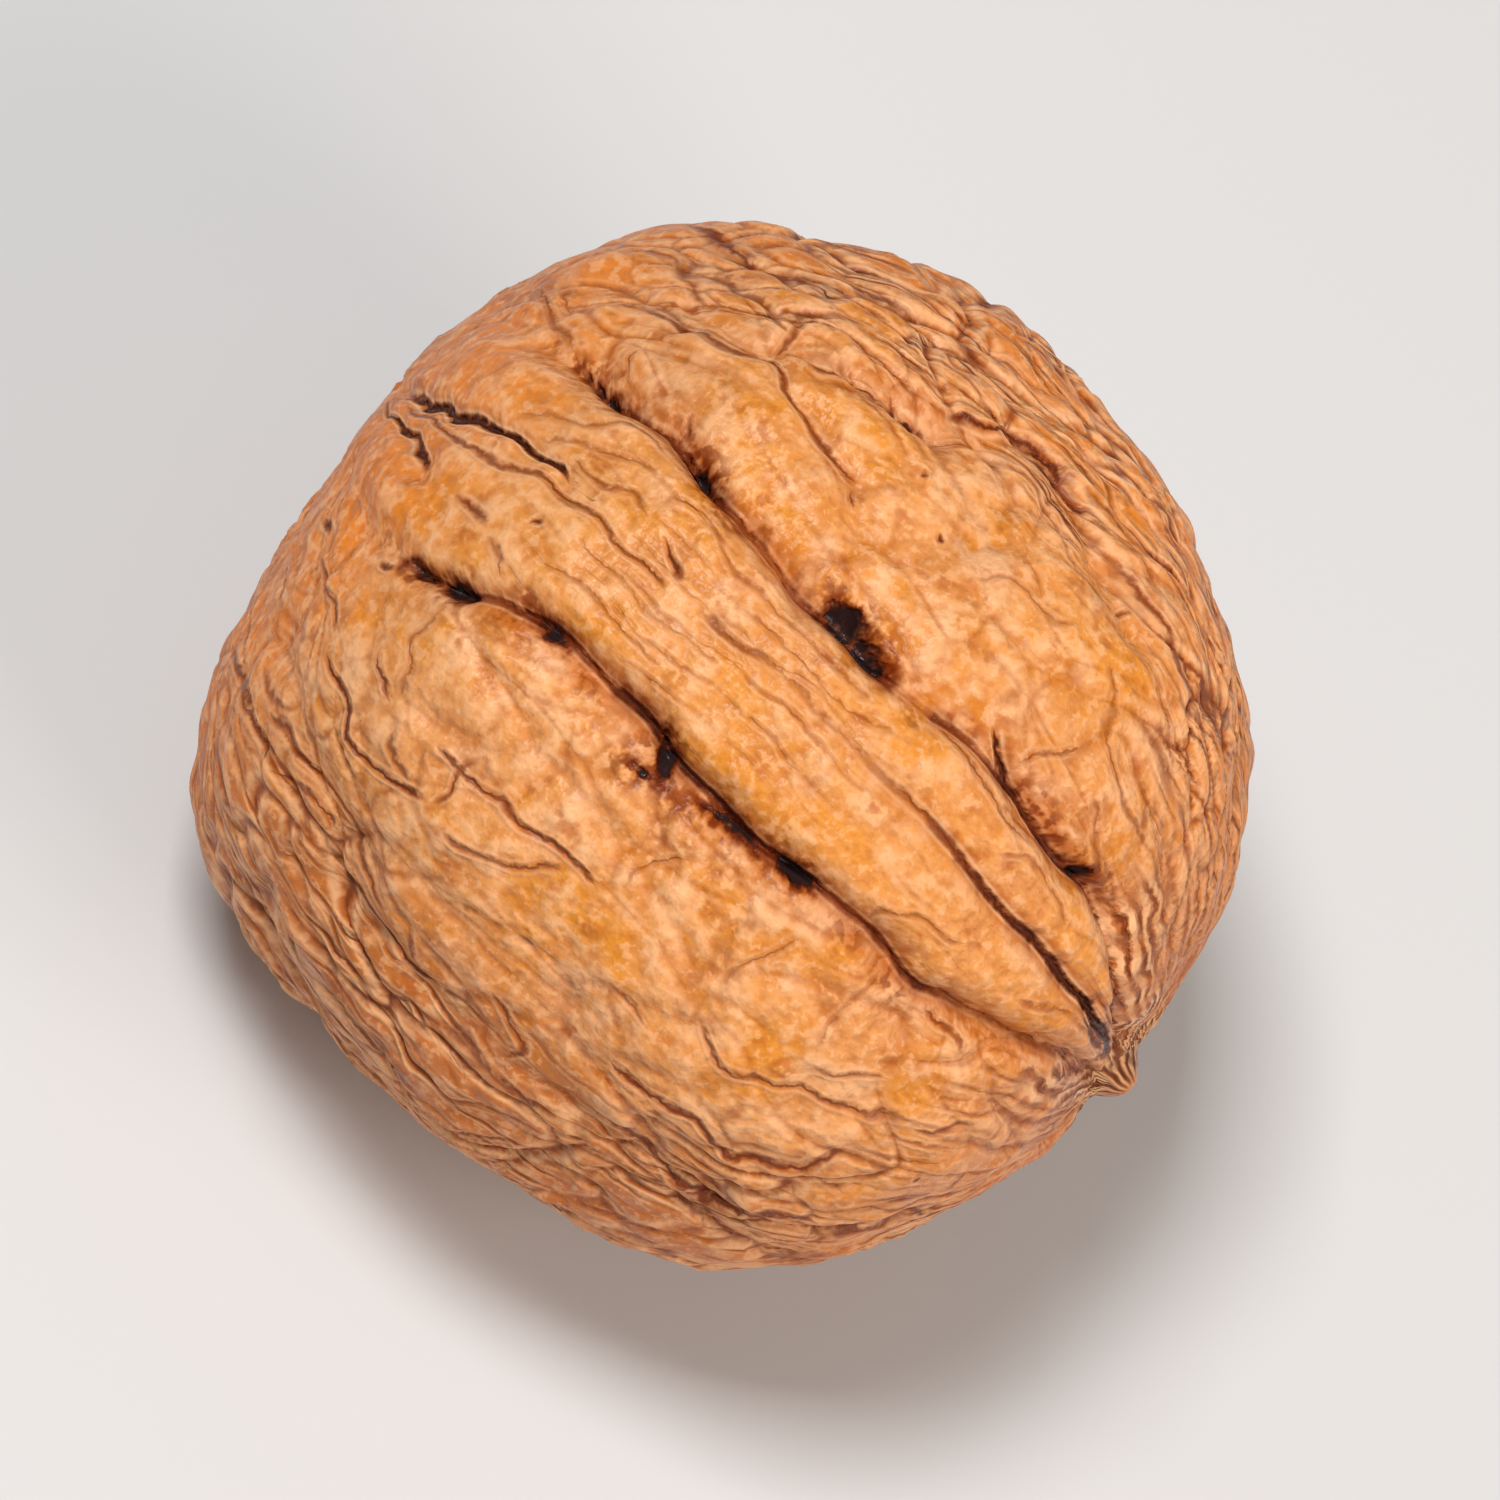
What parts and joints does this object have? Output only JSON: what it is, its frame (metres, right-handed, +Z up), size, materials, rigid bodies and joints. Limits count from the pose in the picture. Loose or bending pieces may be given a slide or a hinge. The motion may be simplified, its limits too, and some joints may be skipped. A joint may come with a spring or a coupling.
{
  "type": "walnut",
  "caption": "Whole walnut in its wrinkled tan shell, lying on its side with the seam band facing up and forward, to rest on a table or in a bowl.",
  "frame": {"origin": "bottom centre of the bounding box, on the surface that the nut lies on", "axes": "+Z up from the surface, +X along the nut from its stem end to its tip, +Y across it, away from the side that the seam band leans to"},
  "size_m": [0.036, 0.035, 0.0336],
  "materials": {
    "shell": "satin, wrinkled and pitted tan nutshell with dark brown creases"
  },
  "bodies": {
    "root": {"walnut": "shell"}
  },
  "joints": []
}
